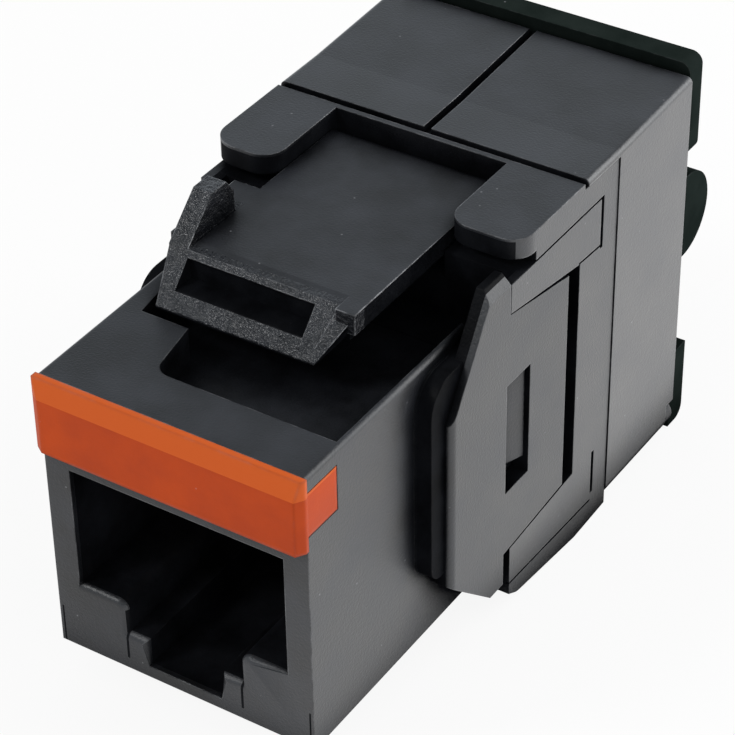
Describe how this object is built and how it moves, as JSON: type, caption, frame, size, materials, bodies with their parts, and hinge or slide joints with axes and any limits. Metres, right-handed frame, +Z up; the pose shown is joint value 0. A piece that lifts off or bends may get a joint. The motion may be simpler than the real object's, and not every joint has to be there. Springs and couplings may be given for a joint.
{
  "type": "keystone jack",
  "caption": "Modular plug socket that snaps into a panel opening, with a sprung top latch, coloured front clip, hinged rear doors and a pull-off rear cover.",
  "frame": {"origin": "below the middle of the jack, on the surface under its lowest point", "axes": "-Y out of the plug opening, +Z up towards the panel latch, +X to the right seen from the front"},
  "size_m": [0.0174, 0.036, 0.0224],
  "materials": {
    "housing_plastic": "satin",
    "clip_plastic": "satin",
    "comb_plastic": "matte",
    "contact_metal": "polished",
    "board_laminate": "gloss",
    "block_plastic": "matte",
    "cap_plastic": "satin"
  },
  "bodies": {
    "jack": {"front_housing": "housing_plastic", "colour_clip": "clip_plastic", "contact_comb": "comb_plastic", "spring_contact_1": "contact_metal", "spring_contact_2": "contact_metal", "spring_contact_3": "contact_metal", "spring_contact_4": "contact_metal", "spring_contact_5": "contact_metal", "spring_contact_6": "contact_metal", "spring_contact_7": "contact_metal", "spring_contact_8": "contact_metal", "circuit_board": "board_laminate", "carrier": "housing_plastic", "wire_block": "block_plastic", "wire_blade_1": "contact_metal", "wire_blade_2": "contact_metal", "wire_blade_3": "contact_metal", "wire_blade_4": "contact_metal", "wire_blade_5": "contact_metal", "wire_blade_6": "contact_metal", "wire_blade_7": "contact_metal", "wire_blade_8": "contact_metal"},
    "latch": {"panel_latch": "housing_plastic"},
    "right_leaf": {"right_door": "housing_plastic"},
    "left_leaf": {"left_door": "housing_plastic"},
    "cap": {"rear_cover": "cap_plastic", "wire_holder": "cap_plastic"}
  },
  "joints": [
    {"name": "latch_press", "type": "hinge", "parent": "jack", "child": "latch", "pos_m": [0, 0.00317, 0.01995], "axis": [1, 0, 0], "range_deg": [0, 7], "stiffness_Nm_per_rad": 0.4, "springref_deg": -2.01},
    {"name": "right_door_open", "type": "hinge", "parent": "jack", "child": "right_leaf", "pos_m": [0.00785, 0.01068, 0.00125], "axis": [0, 1, 0], "range_deg": [0, 90]},
    {"name": "left_door_open", "type": "hinge", "parent": "jack", "child": "left_leaf", "pos_m": [-0.00785, 0.01068, 0.00125], "axis": [0, -1, 0], "range_deg": [0, 90]},
    {"name": "cap_pull", "type": "slide", "parent": "jack", "child": "cap", "axis": [0, 1, 0], "range_m": [0, 0.009]}
  ]
}
